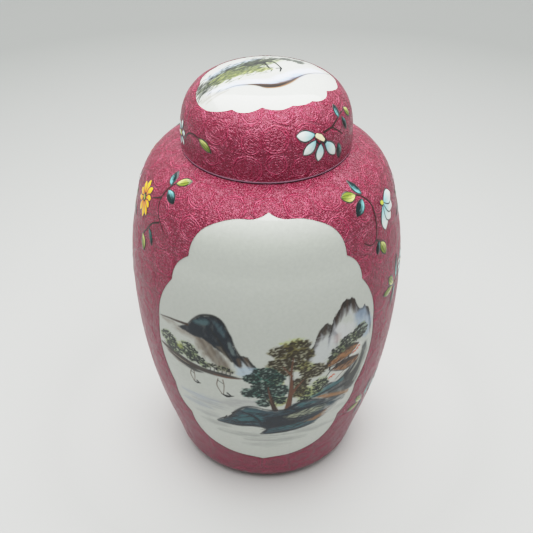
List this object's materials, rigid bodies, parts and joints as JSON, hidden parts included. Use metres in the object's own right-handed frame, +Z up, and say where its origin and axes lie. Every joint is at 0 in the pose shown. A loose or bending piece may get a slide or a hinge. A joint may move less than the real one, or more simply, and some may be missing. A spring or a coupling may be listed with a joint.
{
  "type": "ginger jar",
  "caption": "Covered porcelain ginger jar: a baluster body with a foot ring and plain neck, and a loose domed lid over the neck.",
  "frame": {"origin": "on the jar's axis, on the surface that the foot ring rests on", "axes": "+Z up along the jar's axis; the painted front panel faces -Y"},
  "size_m": [0.14, 0.14, 0.2238],
  "materials": {
    "body_porcelain": "opaque ruby-pink enamel with fine scratched scrollwork, and glossy white glaze in the painted panels, inside and under the foot",
    "lid_porcelain": "opaque ruby-pink enamel with fine scratched scrollwork, and glossy white glaze on the crown and inside"
  },
  "bodies": {
    "jar": {"jar": "body_porcelain"},
    "lid": {"lid": "lid_porcelain"}
  },
  "joints": [
    {"name": "lid_lift", "type": "slide", "parent": "jar", "child": "lid", "axis": [0, 0, 1], "range_m": [0, 0.1]}
  ]
}
